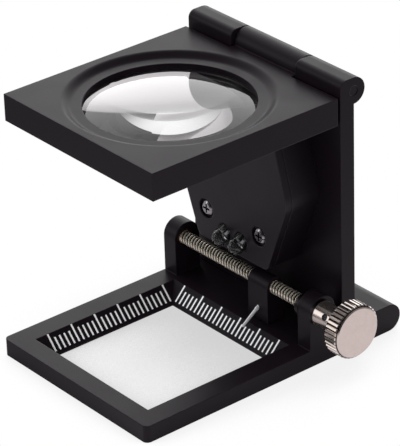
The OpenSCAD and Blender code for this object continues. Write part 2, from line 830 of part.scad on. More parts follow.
module carriage() {
    color("#2d2b2d") difference() {
        along_x(carriage_x - carriage_w / 2, carriage_x + carriage_w / 2) {
            translate([carriage_y0, base_t + carriage_gap])
                square([carriage_d, screw_z - base_t - carriage_gap]);
            translate([screw_y, screw_z]) circle(d = carriage_d);
        }
        bar_x(carriage_x - carriage_w, carriage_x + carriage_w, screw_y, screw_z, screw_d + 2 * screw_fit);
        at_needle() translate([0, 0, -needle_seat])
            cylinder(d = needle_d + 2 * fixed_fit, h = needle_seat + over);
    }
}

module needle() {
    color("#b9b7b4") at_needle() {
        translate([0, 0, -needle_seat]) cylinder(d = needle_d, h = needle_seat + needle_l - needle_d / 2);
        translate([0, 0, needle_l - needle_d / 2]) sphere(d = needle_d);
    }
}

base_plate();
screw_bushes();
column();
upper_hinge_pin();
lower_hinge_pin();
lens_frame();
lens();
lens_retaining_ring();
lamp_body();
lamp_cover();
cover_screws();
body_screws();
led_left();
led_right();
circuit_board();
battery_cells();
rear_contact();
front_contact();
switch_body();
switch_slider();
lead_screw();
thrust_washers();
retaining_clip();
knob();
knob_grub_screw();
carriage();
needle();
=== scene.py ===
"""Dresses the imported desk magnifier: paint, plated metal, glass, the window's scale and the cut thread."""

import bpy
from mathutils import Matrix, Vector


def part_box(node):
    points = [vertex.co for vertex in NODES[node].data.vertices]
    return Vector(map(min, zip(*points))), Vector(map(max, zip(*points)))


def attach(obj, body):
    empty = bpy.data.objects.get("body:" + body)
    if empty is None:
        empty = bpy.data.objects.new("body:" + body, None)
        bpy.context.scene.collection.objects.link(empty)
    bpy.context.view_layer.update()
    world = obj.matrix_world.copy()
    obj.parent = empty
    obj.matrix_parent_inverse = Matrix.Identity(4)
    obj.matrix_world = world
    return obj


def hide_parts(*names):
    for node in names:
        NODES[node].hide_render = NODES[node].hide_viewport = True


bl_info = {
    "name": "Desk magnifier",
    "version": (1, 0, 0),
    "blender": (4, 5, 0),
    "location": "View3D > Sidebar > Magnifier",
    "description": "Finishes, scale, thread and studio of a folding desk magnifier",
    "category": "Object",
}

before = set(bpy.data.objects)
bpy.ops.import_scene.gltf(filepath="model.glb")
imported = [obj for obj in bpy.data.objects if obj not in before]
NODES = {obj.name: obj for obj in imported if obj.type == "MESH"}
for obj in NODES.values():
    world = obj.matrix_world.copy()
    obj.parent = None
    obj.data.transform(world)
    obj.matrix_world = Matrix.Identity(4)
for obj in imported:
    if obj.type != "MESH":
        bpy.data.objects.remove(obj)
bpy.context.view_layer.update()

import math

import bmesh
import bpy
from bpy.props import FloatProperty, FloatVectorProperty, IntProperty, PointerProperty
from mathutils import Euler, Matrix, Vector

MM = 0.001

# Turns about X, from straight up to the way each one points
NEEDLE_TILT = math.radians(125)
LAMP_TILT = math.radians(115)

# Heights above the underside of the base
NEEDLE_HEIGHT = 5.6 * MM
LAMP_HEIGHT = 17.2 * MM
FLOOR_HEIGHT = -0.02 * MM

# The camera as solved from the photo: place in mm, turn in degrees, shift as a share of the frame
CAMERA_PLACE = (342.10, -266.16, 259.99)
CAMERA_TURN = (61.3706, 1.4877, 50.0291)
CAMERA_SHIFT = (-0.0355, 0.0242)

WHITE = (1, 1, 1, 1)


# Settings

def length(name, text, default, low=0.0):
    """A length in metres."""
    return FloatProperty(name=name, description=text, default=default, min=low, subtype="DISTANCE", unit="LENGTH",
                         precision=5)


def share(name, text, default):
    """A share from 0 to 1."""
    return FloatProperty(name=name, description=text, default=default, min=0.0, max=1.0, subtype="FACTOR")


def brightness(name, text, default):
    """How bright a part of the studio is, where 1 is white."""
    return FloatProperty(name=name, description=text, default=default, min=0.0, subtype="FACTOR")


def watts(name, text, default):
    """The power of a light."""
    return FloatProperty(name=name, description=text, default=default, min=0.0, unit="POWER")


def colour(name, text, default):
    """A linear RGB colour."""
    return FloatVectorProperty(name=name, description=text, default=default, min=0.0, max=1.0, subtype="COLOR", size=3)


class WindowSizes(bpy.types.PropertyGroup):
    """The window in the base and the lines on its walls."""
    side: length("Window side", "Side of the square opening at the underside", 25 * MM)
    lean: length("Lean", "How far each wall leans back from bottom to top", 2.65 * MM)
    lip: length("Lip", "Height of the upright lip below the leaning walls", 0.3 * MM)
    top: length("Top", "Height of the base's upper face", 3.1 * MM)
    division: length("Division", "Distance from one line to the next", 1 * MM)
    divisions: IntProperty(name="Divisions", description="Number of divisions on each wall", default=25, min=1)
    long_every: IntProperty(name="Long line every", description="Divisions from one long line to the next",
                            default=5, min=1)
    line_width: length("Line width", "Width of each line", 0.33 * MM)
    line_start: share("Line start", "Where the lines begin, as a share of the wall's slope", 0.15)
    short_share: share("Short line", "Length of a short line as a share of a long one", 0.72)
    left_start: length("Left wall start", "Where the left wall's first line lies along Y", -12.6 * MM, low=-1.0)
    rear_start: length("Rear wall start", "Where the rear wall's first line lies along X", -12.2 * MM, low=-1.0)


class ThreadSizes(bpy.types.PropertyGroup):
    """The thread that is cut into the pointer screw."""
    pitch: length("Pitch", "Distance from one crest of the thread to the next", 0.7 * MM)
    depth: length("Depth", "Depth of the thread below its crest", 0.3 * MM)
    runout: length("Run-out", "Length of plain screw next to the ear and the clip", 0.1 * MM)
    journal: length("Plain end", "Diameter of the screw's plain end in the knob", 1.8 * MM)


class LensSizes(bpy.types.PropertyGroup):
    """The lens, whose other sizes come from the frame."""
    edge: length("Edge", "Thickness of the lens at its edge", 0.6 * MM)
    steps: IntProperty(name="Rings", description="Rings of faces from the middle of the lens to its edge",
                       default=20, min=4)


class FinishColours(bpy.types.PropertyGroup):
    """The main colours."""
    paint: colour("Paint", "Satin black paint on the cast plates", (0.0087, 0.0058, 0.0085))
    lamp: colour("Lamp", "Black moulding of the lamp housing", (0.0079, 0.0052, 0.0082))
    nickel: colour("Knob", "Nickel plating of the knob", (0.63, 0.55, 0.51))
    screw: colour("Screw", "Warm plating of the pointer screw", (1.0, 0.89, 0.75))
    scale: colour("Scale", "White lines in the window", (0.98, 0.98, 0.99))


class StudioSettings(bpy.types.PropertyGroup):
    """Lens and light of the studio."""
    focal: FloatProperty(name="Focal length", description="Focal length of the camera", default=241.8, min=50,
                         unit="CAMERA")
    fill: brightness("Fill", "The even light from all round", 0.95)
    front: brightness("Front", "The dark side behind the camera, as metal reflects it", 0.15)
    back: brightness("Back", "The light side behind the object, as metal reflects it", 2.3)
    strip: brightness("Strip", "The narrow light in front to the left, as metal reflects it", 1.5)
    key: watts("Key", "Power of the light behind and to the left", 1.6)
    top: watts("Top", "Power of the overhead light", 1.8)


SETTINGS = (("magnifier_window", WindowSizes), ("magnifier_thread", ThreadSizes), ("magnifier_lens", LensSizes),
            ("magnifier_finish", FinishColours), ("magnifier_studio", StudioSettings))


# Node trees

def add(tree, kind, ins=None, **settings):
    """Adds a node, sets its properties and sets or links its inputs."""
    made = tree.nodes.new(kind)
    for name, value in settings.items():
        setattr(made, name, value)
    for name, value in (ins or {}).items():
        socket = made.inputs[name]
        if isinstance(value, bpy.types.NodeSocket):
            tree.links.new(value, socket)
        else:
            socket.default_value = value
    return made


def calc(tree, operation, a, b=0.0, c=0.0, clamp=False):
    """One Math node's output."""
    made = tree.nodes.new("ShaderNodeMath")
    made.operation = operation
    made.use_clamp = clamp
    for i, value in enumerate((a, b, c)):
        if isinstance(value, bpy.types.NodeSocket):
            tree.links.new(value, made.inputs[i])
        else:
            made.inputs[i].default_value = value
    return made.outputs[0]


def product(tree, first, *others):
    """The product of two or more values."""
    for other in others:
        first = calc(tree, "MULTIPLY", first, other)
    return first


def blend_colour(tree, mask, a, b):
    """Mixes two colours by a mask and puts out the result."""
    made = tree.nodes.new("ShaderNodeMix")
    made.data_type = "RGBA"
    for index, value in ((0, mask), (6, a), (7, b)):
        if isinstance(value, bpy.types.NodeSocket):
            tree.links.new(value, made.inputs[index])
        else:
            made.inputs[index].default_value = value
    return made.outputs[2]


def ramp(tree, value, start, end, low, high):
    """A soft step from low at start to high at end."""
    return add(tree, "ShaderNodeMapRange", {
        "Value": value, "From Min": start, "From Max": end, "To Min": low, "To Max": high},
        interpolation_type="SMOOTHSTEP").outputs[0]


def object_place(tree):
    """X, Y and Z of the shaded point in the object's own frame."""
    return add(tree, "ShaderNodeSeparateXYZ", {0: add(tree, "ShaderNodeTexCoord").outputs["Object"]}).outputs


def distance_from_axis(tree, a, b):
    """The distance of a point from an axis, from its two parts square to it."""
    return calc(tree, "SQRT", calc(tree, "ADD", calc(tree, "MULTIPLY", a, a), calc(tree, "MULTIPLY", b, b)))


def new_group(name, kind, inputs, outputs):
    """An empty node group with its named sockets, and its input and output nodes."""
    tree = bpy.data.node_groups.new(name, kind)
    for socket_name, socket_type, default in inputs:
        socket = tree.interface.new_socket(name=socket_name, in_out="INPUT", socket_type=socket_type)
        if default is not None:
            socket.default_value = default
    for socket_name, socket_type in outputs:
        tree.interface.new_socket(name=socket_name, in_out="OUTPUT", socket_type=socket_type)
    return tree, tree.nodes.new("NodeGroupInput"), tree.nodes.new("NodeGroupOutput")


def edge_highlight_group():
    """A mask that is 1 on sharp edges and broken up by a fine noise, for a painted highlight along them."""
    tree, given, out = new_group(
        "Edge highlight", "ShaderNodeTree",
        (("Width", "NodeSocketFloat", 0.2 * MM), ("Amount", "NodeSocketFloat", 1.0),
         ("Breakup", "NodeSocketFloat", 0.4)),
        (("Mask", "NodeSocketFloat"),))
    place = add(tree, "ShaderNodeTexCoord").outputs["Object"]
    rounded = add(tree, "ShaderNodeBevel", {"Radius": given.outputs["Width"]}, samples=6).outputs["Normal"]
    flat = add(tree, "ShaderNodeNewGeometry").outputs["True Normal"]
    facing = add(tree, "ShaderNodeVectorMath", {0: rounded, 1: flat}, operation="DOT_PRODUCT").outputs["Value"]
    sharp = calc(tree, "MULTIPLY", calc(tree, "SUBTRACT", 1.0, facing), 5.0, clamp=True)
    noise = add(tree, "ShaderNodeTexNoise", {"Vector": place, "Scale": 900.0, "Detail": 3.0}).outputs["Fac"]
    broken = calc(tree, "SUBTRACT", 1.0, calc(tree, "MULTIPLY", noise, given.outputs["Breakup"]))
    mask = calc(tree, "MULTIPLY", product(tree, sharp, broken), given.outputs["Amount"], clamp=True)
    tree.links.new(mask, out.inputs["Mask"])
    return tree


def fine_grain_group():
    """The tooth of paint or moulded plastic: a slow mottle and a fine bump."""
    tree, given, out = new_group(
        "Fine grain", "ShaderNodeTree",
        (("Grain", "NodeSocketFloat", 4500.0), ("Mottle", "NodeSocketFloat", 180.0)),
        (("Height", "NodeSocketFloat"), ("Mottle", "NodeSocketFloat")))
    place = add(tree, "ShaderNodeTexCoord").outputs["Object"]
    fine = add(tree, "ShaderNodeTexNoise", {
        "Vector": place, "Scale": given.outputs["Grain"], "Detail": 2.0, "Roughness": 0.6})
    slow = add(tree, "ShaderNodeTexNoise", {"Vector": place, "Scale": given.outputs["Mottle"], "Detail": 4.0})
    tree.links.new(fine.outputs["Fac"], out.inputs["Height"])
    tree.links.new(slow.outputs["Fac"], out.inputs["Mottle"])
    return tree


def turned_group():
    """Fine rings round an axis along X, as a lathe leaves them."""
    tree, given, out = new_group(
        "Turned rings", "ShaderNodeTree",
        (("Axis Y", "NodeSocketFloat", 0.0), ("Axis Z", "NodeSocketFloat", 0.0), ("Rings", "NodeSocketFloat", 9000.0)),
        (("Height", "NodeSocketFloat"), ("Radius", "NodeSocketFloat")))
    place = object_place(tree)
    radius = distance_from_axis(tree, calc(tree, "SUBTRACT", place["Y"], given.outputs["Axis Y"]),
                                calc(tree, "SUBTRACT", place["Z"], given.outputs["Axis Z"]))
    where = add(tree, "ShaderNodeCombineXYZ", {"X": place["X"], "Y": radius, "Z": 0.0}).outputs[0]
    rings = add(tree, "ShaderNodeTexNoise", {"Vector": where, "Scale": given.outputs["Rings"], "Detail": 2.0})
    tree.links.new(rings.outputs["Fac"], out.inputs["Height"])
    tree.links.new(radius, out.inputs["Radius"])
    return tree


SHARED_GROUPS = {"Edge highlight": edge_highlight_group, "Fine grain": fine_grain_group, "Turned rings": turned_group}


def use_group(tree, name, **values):
    """Puts a shared node group in a tree, with its inputs set. The group itself is built once."""
    made = add(tree, "ShaderNodeGroup", node_tree=bpy.data.node_groups.get(name) or SHARED_GROUPS[name]())
    for socket, value in values.items():
        made.inputs[socket.replace("_", " ").title()].default_value = value
    return made.outputs


def node_of_type(tree, kind):
    """The one node of that type that a new tree comes with."""
    return next(node for node in tree.nodes if node.type == kind)


def new_material(name):
    """A material with its Principled shader, and the tree to work in."""
    material = bpy.data.materials.new(name)
    material.use_nodes = True
    return material, material.node_tree, node_of_type(material.node_tree, "BSDF_PRINCIPLED")


def bump(tree, shader, height, distance, strength=1.0, soft=0.0):
    """A bump on the shader's normal, over edges that are rounded to the radius soft."""
    made = add(tree, "ShaderNodeBump", {"Height": height, "Distance": distance, "Strength": strength})
    if soft:
        edge = add(tree, "ShaderNodeBevel", {"Radius": soft}, samples=8)
        tree.links.new(edge.outputs["Normal"], made.inputs["Normal"])
    tree.links.new(made.outputs["Normal"], shader.inputs["Normal"])


def rgba(rgb):
    """The colour with full alpha."""
    return (rgb[0], rgb[1], rgb[2], 1.0)


def scaled(rgb, factor):
    """The colour made darker or lighter, no lighter than 1."""
    return rgba([min(1.0, v * factor) for v in rgb])


def coated(name, rgb, roughness, specular, grain, mottle, edge_highlight, edge_highlight_width, bump_depth, soft=0.0):
    """Paint or moulded plastic: mottled colour, fine bump, and sharp edges lightened as a painted highlight."""
    material, tree, shader = new_material(name)
    tooth = use_group(tree, "Fine grain", grain=grain, mottle=mottle)
    edge = use_group(tree, "Edge highlight", width=edge_highlight_width, amount=edge_highlight)["Mask"]
    base = blend_colour(tree, tooth["Mottle"], scaled(rgb, 0.82), scaled(rgb, 1.18))
    # Painted highlight: sharp edges are up to nine times lighter.
    tree.links.new(blend_colour(tree, edge, base, scaled(rgb, 9.0)), shader.inputs["Base Color"])
    rough = calc(tree, "MULTIPLY_ADD", tooth["Mottle"], 0.16, roughness - 0.08)
    rough = calc(tree, "SUBTRACT", rough, calc(tree, "MULTIPLY", edge, 0.15))
    tree.links.new(rough, shader.inputs["Roughness"])
    shader.inputs["Specular IOR Level"].default_value = specular
    bump(tree, shader, tooth["Height"], bump_depth, 0.7, soft)
    return material


def plated(name, rgb, roughness, axis=None, rings=9000.0, bump_depth=0.004 * MM, edge_highlight=0.4, bright=None,
           shaded_roots=None, shaded_recess=None, metallic=1.0, root_shade=0.2):
    """Plated or drawn metal: turned rings round an axis along X, or an even fine grain.

    bright is the colour of its sharp edges, as a painted highlight.
    roots holds three radii round that axis: beyond the first it is painted dark, as shade between the crests, up to the
    second, and unshaded from the third.
    dirt is what is left of the colour under that painted shade.
    recess holds two places along Y: it is unshaded up to the first and painted dark, as shade in the sunken cross, from
    the second.
    """
    material, tree, shader = new_material(name)
    shader.inputs["Metallic"].default_value = metallic
    tooth = use_group(tree, "Fine grain", mottle=700.0)
    height = tooth["Height"]
    if axis:
        lathe = use_group(tree, "Turned rings", axis_y=axis[0], axis_z=axis[1], rings=rings)
        height = lathe["Height"]
    edge = use_group(tree, "Edge highlight", width=0.08 * MM, amount=edge_highlight)["Mask"]
    base = blend_colour(tree, tooth["Mottle"], scaled(rgb, 0.9), scaled(rgb, 1.04))
    # Painted highlight: sharp edges take the colour bright, or a lighter plating.
    with_painted_light = blend_colour(tree, edge, base, rgba(bright) if bright else scaled(rgb, 1.15))
    # Painted shade: the hollows between the crests round the axis are darkened.
    if shaded_roots:
        inside = ramp(tree, lathe["Radius"], shaded_roots[0], shaded_roots[0] + 0.03 * MM, 0.0, 1.0)
        deep = calc(tree, "MULTIPLY", inside, ramp(tree, lathe["Radius"], shaded_roots[1], shaded_roots[2], 1.0, 0.0))
        with_painted_light = blend_colour(tree, deep, with_painted_light, scaled(rgb, root_shade))
    # Painted shade: what lies deeper along Y than the first place is darkened.
    if shaded_recess:
        deep = ramp(tree, object_place(tree)["Y"], shaded_recess[0], shaded_recess[1], 0.0, 1.0)
        with_painted_light = blend_colour(tree, deep, with_painted_light, scaled(rgb, 0.03))
    tree.links.new(with_painted_light, shader.inputs["Base Color"])
    tree.links.new(calc(tree, "MULTIPLY_ADD", height, 0.14, roughness - 0.07), shader.inputs["Roughness"])
    bump(tree, shader, height, bump_depth, 0.6)
    return material


def glass(name, tint, ior, haze_scale, clear_share=1.0):
    """Clear glass or resin with a faint haze, which lets light through to what lies behind it."""
    material, tree, shader = new_material(name)
    shader.inputs["Metallic"].default_value = 0.0
    shader.inputs["Roughness"].default_value = 0.0
    shader.inputs["Transmission Weight"].default_value = clear_share
    shader.inputs["IOR"].default_value = ior
    place = add(tree, "ShaderNodeTexCoord").outputs["Object"]
    haze = add(tree, "ShaderNodeTexNoise", {"Vector": place, "Scale": haze_scale, "Detail": 3.0}).outputs["Fac"]
    tree.links.new(blend_colour(tree, haze, scaled(tint, 0.985), rgba(tint)), shader.inputs["Base Color"])
    clear = add(tree, "ShaderNodeBsdfTransparent", {"Color": scaled(tint, 0.97)})
    shadow = add(tree, "ShaderNodeLightPath").outputs["Is Shadow Ray"]
    mixed = add(tree, "ShaderNodeMixShader", {0: shadow, 1: shader.outputs[0], 2: clear.outputs[0]})
    tree.links.new(mixed.outputs[0], node_of_type(tree, "OUTPUT_MATERIAL").inputs["Surface"])
    return material


def give(material, *names):
    """Assigns a material to every slot of the CAD nodes named."""
    for name in names:
        target = NODES[name].data
        if not target.materials:
            target.materials.append(material)
        for i in range(len(target.materials)):
            target.materials[i] = material


# Meshes

# Turns Z to X, X to Y and Y to Z
ALONG_X = Matrix(((0, 0, 1, 0), (1, 0, 0, 0), (0, 1, 0, 0), (0, 0, 0, 1)))


def new_object(name, mesh, material=None):
    """An object at the origin, with its place in its mesh."""
    made = bpy.data.objects.new(name, mesh)
    bpy.context.scene.collection.objects.link(made)
    if material:
        mesh.materials.clear()
        mesh.materials.append(material)
    return made


def grown(name, tree, settings):
    """Runs a Geometry Nodes tree with its named inputs and puts out the plain mesh."""
    holder = new_object("growing", bpy.data.meshes.new("growing"))
    modifier = holder.modifiers.new("grow", "NODES")
    modifier.node_group = tree
    for item in tree.interface.items_tree:
        if item.item_type == "SOCKET" and item.in_out == "INPUT" and item.name in settings:
            modifier[item.identifier] = settings[item.name]
    bpy.context.view_layer.update()
    evaluated = holder.evaluated_get(bpy.context.evaluated_depsgraph_get())
    mesh = bpy.data.meshes.new_from_object(evaluated)
    mesh.name = name
    holder.modifiers.remove(modifier)
    bpy.data.objects.remove(holder)
    return mesh


def finished(name, work):
    """A new mesh from a bmesh, which it frees."""
    made = bpy.data.meshes.new(name)
    work.to_mesh(made)
    work.free()
    return made


def joined(name, meshes):
    """One mesh out of several."""
    work = bmesh.new()
    for mesh in meshes:
        work.from_mesh(mesh)
    return finished(name, work)


def turned(name, profile, middle, axis="X", sides=40):
    """A closed body turned round an axis through a point, from a list of (radius, place along the axis)."""
    work = bmesh.new()
    angles = [2 * math.pi * k / sides for k in range(sides)]
    rings = [[work.verts.new((r * math.cos(angle), r * math.sin(angle), along)) for angle in angles]
             for r, along in profile]
    for low, high in zip(rings, rings[1:]):
        for k in range(sides):
            n = (k + 1) % sides
            work.faces.new((low[k], low[n], high[n], high[k]))
    work.faces.new(list(reversed(rings[0])))
    work.faces.new(rings[-1])
    bmesh.ops.remove_doubles(work, verts=work.verts, dist=0.0001 * MM)
    bmesh.ops.recalc_face_normals(work, faces=work.faces)
    made = finished(name, work)
    made.transform(Matrix.Translation(middle) @ (ALONG_X if axis == "X" else Matrix()))
    return made


def smooth(mesh, angle=40):
    """Smooth faces with sharp edges over an angle in degrees."""
    mesh.shade_smooth()
    mesh.set_sharp_from_angle(angle=math.radians(angle))
    return mesh


def axis_of(node):
    """Y and Z of the axis of a round node that lies along X."""
    low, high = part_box(node)
    return (low.y + high.y) / 2, (low.z + high.z) / 2


# Window scale

def scale_tree():
    """Lines side by side along X, longer at every fifth, rising along Y."""
    tree, given, out = new_group(
        "Scale lines", "GeometryNodeTree",
        (("Geometry", "NodeSocketGeometry", None), ("Lines", "NodeSocketInt", 26), ("Division", "NodeSocketFloat", MM),
         ("Long Every", "NodeSocketInt", 5), ("Line Width", "NodeSocketFloat", 0.3 * MM),
         ("Long Length", "NodeSocketFloat", 3 * MM), ("Short Share", "NodeSocketFloat", 0.7),
         ("Thickness", "NodeSocketFloat", 0.03 * MM), ("Material", "NodeSocketMaterial", None)),
        (("Geometry", "NodeSocketGeometry"),))
    step = add(tree, "ShaderNodeCombineXYZ", {"X": given.outputs["Division"]})
    row = add(tree, "GeometryNodeMeshLine", {"Count": given.outputs["Lines"], "Offset": step.outputs[0]})
    index = add(tree, "GeometryNodeInputIndex").outputs[0]
    rest = calc(tree, "MODULO", index, given.outputs["Long Every"])
    is_long = calc(tree, "LESS_THAN", rest, 0.5)
    spare = calc(tree, "SUBTRACT", 1.0, given.outputs["Short Share"])
    part = calc(tree, "ADD", given.outputs["Short Share"], calc(tree, "MULTIPLY", spare, is_long))
    line = calc(tree, "MULTIPLY", part, given.outputs["Long Length"])
    size = add(tree, "ShaderNodeCombineXYZ", {
        "X": given.outputs["Line Width"], "Y": line, "Z": given.outputs["Thickness"]})
    block = add(tree, "GeometryNodeMeshCube", {"Size": (1, 1, 1)})
    raised = add(tree, "GeometryNodeTransform", {"Geometry": block.outputs["Mesh"], "Translation": (0, 0.5, 0.25)})
    lines = add(tree, "GeometryNodeInstanceOnPoints",
                {"Points": row.outputs[0], "Instance": raised.outputs[0], "Scale": size.outputs[0]})
    real = add(tree, "GeometryNodeRealizeInstances", {"Geometry": lines.outputs[0]})
    painted = add(tree, "GeometryNodeSetMaterial", {"Geometry": real.outputs[0], "Material": given.outputs["Material"]})
    tree.links.new(painted.outputs[0], out.inputs[0])
    return tree


class MAGNIFIER_OT_scale(bpy.types.Operator):
    """Paint the millimetre lines on the left and rear walls of the window"""
    bl_idname = "magnifier.scale"
    bl_label = "Window scale"

    def execute(self, context):
        sizes = context.scene.magnifier_window
        ink, tree, shader = new_material("scale_white")
        tooth = use_group(tree, "Fine grain")
        white = context.scene.magnifier_finish.scale
        mottled = blend_colour(tree, tooth["Mottle"], scaled(white, 0.93), rgba(white))
        tree.links.new(mottled, shader.inputs["Base Color"])
        shader.inputs["Roughness"].default_value = 0.55
        bump(tree, shader, tooth["Height"], 0.003 * MM)
        rise = sizes.top - sizes.lip
        slope = math.hypot(sizes.lean, rise)
        out_share, up_share = sizes.lean / slope, rise / slope
        short_of_top = 0.02 * MM
        lines = scale_tree()
        settings = {"Lines": sizes.divisions + 1, "Division": sizes.division, "Long Every": sizes.long_every,
                    "Line Width": sizes.line_width, "Long Length": slope * (1 - sizes.line_start) - short_of_top,
                    "Short Share": sizes.short_share, "Material": ink}
        up = slope * sizes.line_start
        half = sizes.side / 2
        walls = []
        for along, rising, foot in (
                (Vector((0, 1, 0)), Vector((-out_share, 0, up_share)), Vector((-half, sizes.left_start, sizes.lip))),
                (Vector((1, 0, 0)), Vector((0, out_share, up_share)), Vector((sizes.rear_start, half, sizes.lip)))):
            mesh = grown("lines", lines, settings)
            frame_of_wall = Matrix((along, rising, along.cross(rising))).transposed().to_4x4()
            mesh.transform(Matrix.Translation(foot + up * rising) @ frame_of_wall)
            walls.append(mesh)
        piece = new_object("window_scale", joined("window_scale", walls), ink)
        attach(piece, "base")
        return {"FINISHED"}


# Pointer screw

def thread_tree():
    """A round bar along Z with a right-handed thread cut into it."""
    tree, given, out = new_group(
        "Cut thread", "GeometryNodeTree",
        (("Geometry", "NodeSocketGeometry", None), ("Radius", "NodeSocketFloat", 1.1 * MM),
         ("Depth", "NodeSocketFloat", 0.2 * MM), ("Pitch", "NodeSocketFloat", 0.7 * MM),
         ("Length", "NodeSocketFloat", 30 * MM), ("Steps per Turn", "NodeSocketInt", 12),
         ("Sides", "NodeSocketInt", 32), ("Material", "NodeSocketMaterial", None)),
        (("Geometry", "NodeSocketGeometry"),))
    turns = calc(tree, "DIVIDE", given.outputs["Length"], given.outputs["Pitch"])
    steps = calc(tree, "MULTIPLY", turns, given.outputs["Steps per Turn"])
    bar = add(tree, "GeometryNodeMeshCylinder", {
        "Vertices": given.outputs["Sides"], "Side Segments": steps,
        "Radius": given.outputs["Radius"], "Depth": given.outputs["Length"]}, fill_type="NGON")
    place = add(tree, "ShaderNodeSeparateXYZ", {0: add(tree, "GeometryNodeInputPosition").outputs[0]})
    angle = calc(tree, "ARCTAN2", place.outputs["Y"], place.outputs["X"])
    phase = calc(tree, "FRACT", calc(tree, "SUBTRACT", calc(tree, "DIVIDE", place.outputs["Z"], given.outputs["Pitch"]),
                                     calc(tree, "DIVIDE", angle, 2 * math.pi)))
    wave = calc(tree, "ABSOLUTE", calc(tree, "SUBTRACT", calc(tree, "MULTIPLY", phase, 2.0), 1.0))
    flank = calc(tree, "MULTIPLY", calc(tree, "SUBTRACT", wave, 0.15), 1.4, clamp=True)
    radius = calc(tree, "SUBTRACT", given.outputs["Radius"], calc(tree, "MULTIPLY", flank, given.outputs["Depth"]))
    spot = add(tree, "ShaderNodeCombineXYZ", {
        "X": calc(tree, "MULTIPLY", calc(tree, "COSINE", angle), radius),
        "Y": calc(tree, "MULTIPLY", calc(tree, "SINE", angle), radius), "Z": place.outputs["Z"]})
    cut = add(tree, "GeometryNodeSetPosition", {"Geometry": bar.outputs["Mesh"], "Position": spot.outputs[0]})
    real = add(tree, "GeometryNodeRealizeInstances", {"Geometry": cut.outputs[0]})
    painted = add(tree, "GeometryNodeSetMaterial", {"Geometry": real.outputs[0], "Material": given.outputs["Material"]})
    tree.links.new(painted.outputs[0], out.inputs[0])
    return tree


class MAGNIFIER_OT_screw(bpy.types.Operator):
    """Cut the thread on the pointer screw and finish its bushes, washers and clip"""
    bl_idname = "magnifier.screw"
    bl_label = "Pointer screw"

    def execute(self, context):
        sizes = context.scene.magnifier_thread
        finish = context.scene.magnifier_finish
        y, z = axis_of("lead_screw")
        screw_low, screw_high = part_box("lead_screw")
        clip_low, clip_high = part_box("retaining_clip")
        washer_low, washer_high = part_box("thrust_washers")
        radius = (screw_high.y - screw_low.y) / 2
        core = radius - sizes.depth
        journal = sizes.journal / 2
        # The thread gets a painted highlight on its sharp edges and painted shade between its crests.
        plating = plated("screw_plating", finish.screw, 0.27, axis=(y, z), rings=5000.0, edge_highlight=0.6,
                         bright=(0.95, 0.9, 0.84), metallic=0.8, root_shade=0.03,
                         shaded_roots=(0.2 * MM, core + 0.08 * MM, core + 0.22 * MM))
        # The ears' inner faces lie at -ear and ear, one washer's thickness beyond the inner washer's face
        ear = washer_low.x + (washer_high.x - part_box("base_plate")[1].x)
        start = sizes.runout - ear
        end = clip_low.x - sizes.runout
        thread = grown("thread", thread_tree(), {
            "Radius": radius, "Depth": sizes.depth, "Pitch": sizes.pitch, "Length": end - start, "Material": plating})
        thread.transform(Matrix.Translation(((start + end) / 2, y, z)) @ ALONG_X)
        bevel = 0.3 * MM
        shoulder = 0.1 * MM
        overlap = 0.05 * MM
        left_end = turned("left_end", [
            (radius - bevel, screw_low.x), (radius, screw_low.x + bevel), (radius, start - shoulder),
            (core, start + overlap)], (0, y, z))
        right_end = turned("right_end", [
            (core, end - overlap), (core, clip_high.x), (radius, clip_high.x), (radius, washer_high.x),
            (journal, washer_high.x), (journal, screw_high.x)], (0, y, z))
        mesh = joined("threaded_screw", [thread, left_end, right_end])
        piece = new_object("threaded_screw", smooth(mesh, 75), plating)
        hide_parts("lead_screw")
        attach(piece, "pointer_screw")
        # Bushes, washers and clip get a painted highlight on their sharp edges.
        give(plated("bush_bronze", (0.2, 0.085, 0.05), 0.35, axis=(y, z), bright=(0.75, 0.5, 0.42)), "screw_bushes")
        give(plated("washer_black", (0.022, 0.02, 0.021), 0.3, axis=(y, z), edge_highlight=0.7, bright=(0.2, 0.19, 0.19)),
             "thrust_washers", "retaining_clip")
        return {"FINISHED"}


class MAGNIFIER_OT_knob(bpy.types.Operator):
    """Finish the knurled knob and its grub screw"""
    bl_idname = "magnifier.knob"
    bl_label = "Knurled knob"

    def execute(self, context):
        y, z = axis_of("knob")
        rgb = context.scene.magnifier_finish.nickel
        low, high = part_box("knob")
        radius = (high.z - low.z) / 2
        # The knob gets painted shade between its teeth and, like its grub screw, a painted highlight on sharp edges.
        shaded_roots = (radius - 0.33 * MM, radius - 0.24 * MM, radius - 0.09 * MM)
        give(plated("knob_nickel", rgb, 0.16, axis=(y, z), rings=2500.0, bump_depth=0.002 * MM, edge_highlight=1.0,
                    bright=(0.93, 0.9, 0.88), shaded_roots=shaded_roots, metallic=0.96, root_shade=0.02), "knob")
        give(plated("grub_black", (0.03, 0.028, 0.028), 0.35, edge_highlight=0.8, bright=(0.4, 0.38, 0.37)), "knob_grub_screw")
        return {"FINISHED"}


# Painted plates, needle, lamp and lens

class MAGNIFIER_OT_plates(bpy.types.Operator):
    """Paint the base, the column, the lens plate and the carriage, and blacken the hinge pins"""
    bl_idname = "magnifier.plates"
    bl_label = "Painted plates"

    def execute(self, context):
        # The paint and the hinge pins get a painted highlight on their sharp edges.
        give(coated("black_paint", context.scene.magnifier_finish.paint, roughness=0.37, specular=0.13, grain=9000.0,
                    mottle=160.0, edge_highlight=0.5, edge_highlight_width=0.1 * MM, bump_depth=0.0025 * MM, soft=0.22 * MM),
             "base_plate", "column", "lens_frame", "carriage")
        give(plated("pin_black", (0.03, 0.028, 0.03), 0.38, edge_highlight=1.0, bright=(0.35, 0.33, 0.34)),
             "upper_hinge_pin", "lower_hinge_pin")
        return {"FINISHED"}


